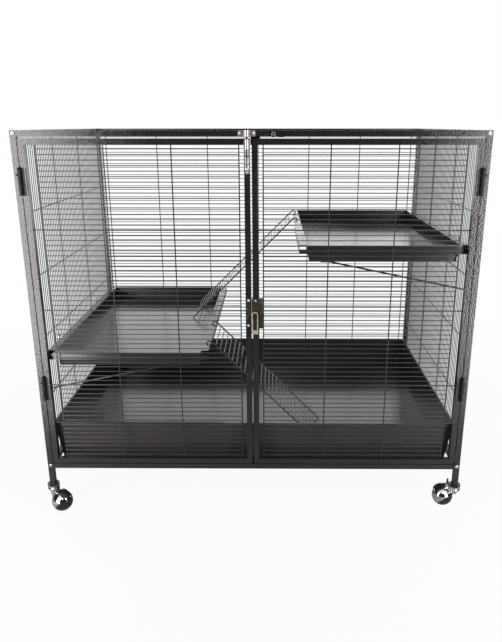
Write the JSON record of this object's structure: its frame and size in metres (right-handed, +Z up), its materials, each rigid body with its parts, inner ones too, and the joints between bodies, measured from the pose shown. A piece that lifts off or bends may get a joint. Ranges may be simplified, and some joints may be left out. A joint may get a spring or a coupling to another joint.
{
  "type": "two-door wire ferret cage",
  "caption": "Wide wire ferret cage on swivel ball casters, with two front doors, two pan shelves, two wire ladders and a deep pull-out tray.",
  "frame": {"origin": "middle of the cage's box on the floor, under the middle of the four casters", "axes": "+X to the right as seen from the doors, +Y towards the back, +Z up"},
  "size_m": [1.0154, 0.7386, 0.897],
  "materials": {
    "powder_coat": "hammered grey-black powder coat, satin",
    "black_enamel": "smooth black enamel, semi-gloss",
    "bright_screws": "zinc-plated, bright",
    "black_hardware": "black paint, satin",
    "chrome_hardware": "bright chrome plate",
    "lock_finish": "dark antique plate worn bright at the edges",
    "button_plastic": "moulded, satin",
    "black_plastic": "moulded, satin",
    "caster_ball": "moulded, semi-gloss"
  },
  "bodies": {
    "frame": {"post_front_left": "powder_coat", "post_front_right": "powder_coat", "post_rear_left": "powder_coat", "post_rear_right": "powder_coat", "rail_top_front": "powder_coat", "rail_top_rear": "powder_coat", "rail_top_left": "powder_coat", "rail_top_right": "powder_coat", "rail_bottom_front": "powder_coat", "rail_bottom_rear": "powder_coat", "rail_bottom_left": "powder_coat", "rail_bottom_right": "powder_coat", "tray_crossbars": "powder_coat", "mesh_back": "powder_coat", "mesh_left": "powder_coat", "mesh_right": "powder_coat", "mesh_top": "powder_coat", "door_stop": "powder_coat", "tray": "black_enamel", "shelf_upper": "black_enamel", "shelf_lower": "black_enamel", "shelf_lugs": "black_enamel", "shelf_braces": "black_enamel", "shelf_bolts": "bright_screws", "hinge_post_leaves": "black_hardware", "hinge_pins": "black_hardware", "frame_screws": "bright_screws", "bolt_keeper": "chrome_hardware", "turn_button_screw": "bright_screws", "caster_sockets": "black_plastic"},
    "left_door": {"door_left_stiles": "powder_coat", "door_left_rails": "powder_coat", "door_left_mesh": "powder_coat", "hinge_leaves_left": "black_hardware", "door_left_screws": "bright_screws", "bolt_body": "chrome_hardware", "lock_keeper": "lock_finish"},
    "right_door": {"door_right_stiles": "powder_coat", "door_right_rails": "powder_coat", "door_right_mesh": "powder_coat", "hinge_leaves_right": "black_hardware", "door_right_screws": "bright_screws", "lock_plate": "lock_finish"},
    "bolt": {"bolt_rod": "chrome_hardware"},
    "button": {"turn_button": "button_plastic"},
    "lock": {"lock_lever": "lock_finish", "lock_tongue": "lock_finish"},
    "upper_ladder": {"ladder_upper": "powder_coat"},
    "lower_ladder": {"ladder_lower": "powder_coat"},
    "swivel_front_left": {"caster_hood_front_left": "chrome_hardware"},
    "ball_front_left": {"caster_ball_front_left": "caster_ball"},
    "brake_front_left_lever": {"brake_front_left": "black_plastic"},
    "swivel_front_right": {"caster_hood_front_right": "chrome_hardware"},
    "ball_front_right": {"caster_ball_front_right": "caster_ball"},
    "brake_front_right_lever": {"brake_front_right": "black_plastic"},
    "swivel_rear_right": {"caster_hood_rear_right": "chrome_hardware"},
    "ball_rear_right": {"caster_ball_rear_right": "caster_ball"},
    "swivel_rear_left": {"caster_hood_rear_left": "chrome_hardware"},
    "ball_rear_left": {"caster_ball_rear_left": "caster_ball"}
  },
  "joints": [
    {"name": "left_door_hinge", "type": "hinge", "parent": "frame", "child": "left_door", "pos_m": [-0.4863, -0.3392, 0.5], "axis": [0, 0, -1], "range_deg": [0, 170]},
    {"name": "right_door_hinge", "type": "hinge", "parent": "frame", "child": "right_door", "pos_m": [0.4863, -0.3392, 0.5], "axis": [0, 0, 1], "range_deg": [0, 170]},
    {"name": "bolt_slide", "type": "slide", "parent": "left_door", "child": "bolt", "axis": [0, 0, 1], "range_m": [-0.022, 0.011]},
    {"name": "button_turn", "type": "hinge", "parent": "frame", "child": "button", "pos_m": [0.0469, -0.336, 0.88935], "axis": [0, 1, 0], "range_deg": [0, 90]},
    {"name": "lock_turn", "type": "hinge", "parent": "right_door", "child": "lock", "pos_m": [0.0064, -0.339, 0.5012], "axis": [0, -1, 0], "range_deg": [0, 90]},
    {"name": "upper_ladder_lift", "type": "hinge", "parent": "frame", "child": "upper_ladder", "pos_m": [0.10805, 0.168, 0.6511], "axis": [0, 1, 0], "range_deg": [0, 40]},
    {"name": "lower_ladder_lift", "type": "hinge", "parent": "frame", "child": "lower_ladder", "pos_m": [-0.10805, -0.168, 0.4005], "axis": [0, -1, 0], "range_deg": [0, 40]},
    {"name": "swivel_front_left_turn", "type": "hinge", "parent": "frame", "child": "swivel_front_left", "pos_m": [-0.49365, -0.32865, 0.06], "axis": [0, 0, 1], "continuous": true},
    {"name": "ball_front_left_roll", "type": "hinge", "parent": "swivel_front_left", "child": "ball_front_left", "pos_m": [-0.47044, -0.34431, 0.025], "axis": [0.5862, -0.3954, -0.7071], "continuous": true},
    {"name": "brake_front_left_press", "type": "hinge", "parent": "swivel_front_left", "child": "brake_front_left_lever", "pos_m": [-0.47856, -0.33883, 0.0565], "axis": [0.5592, 0.829, 0], "range_deg": [0, 3]},
    {"name": "swivel_front_right_turn", "type": "hinge", "parent": "frame", "child": "swivel_front_right", "pos_m": [0.49365, -0.32865, 0.06], "axis": [0, 0, 1], "continuous": true},
    {"name": "ball_front_right_roll", "type": "hinge", "parent": "swivel_front_right", "child": "ball_front_right", "pos_m": [0.47044, -0.31299, 0.025], "axis": [0.5862, -0.3954, -0.7071], "continuous": true},
    {"name": "brake_front_right_press", "type": "hinge", "parent": "swivel_front_right", "child": "brake_front_right_lever", "pos_m": [0.47856, -0.31847, 0.0565], "axis": [-0.5592, -0.829, 0], "range_deg": [0, 3]},
    {"name": "swivel_rear_right_turn", "type": "hinge", "parent": "frame", "child": "swivel_rear_right", "pos_m": [0.49365, 0.32865, 0.06], "axis": [0, 0, 1], "continuous": true},
    {"name": "ball_rear_right_roll", "type": "hinge", "parent": "swivel_rear_right", "child": "ball_rear_right", "pos_m": [0.47044, 0.34431, 0.025], "axis": [-0.5862, 0.3954, -0.7071], "continuous": true},
    {"name": "swivel_rear_left_turn", "type": "hinge", "parent": "frame", "child": "swivel_rear_left", "pos_m": [-0.49365, 0.32865, 0.06], "axis": [0, 0, 1], "continuous": true},
    {"name": "ball_rear_left_roll", "type": "hinge", "parent": "swivel_rear_left", "child": "ball_rear_left", "pos_m": [-0.47044, 0.31299, 0.025], "axis": [-0.5862, 0.3954, -0.7071], "continuous": true}
  ]
}
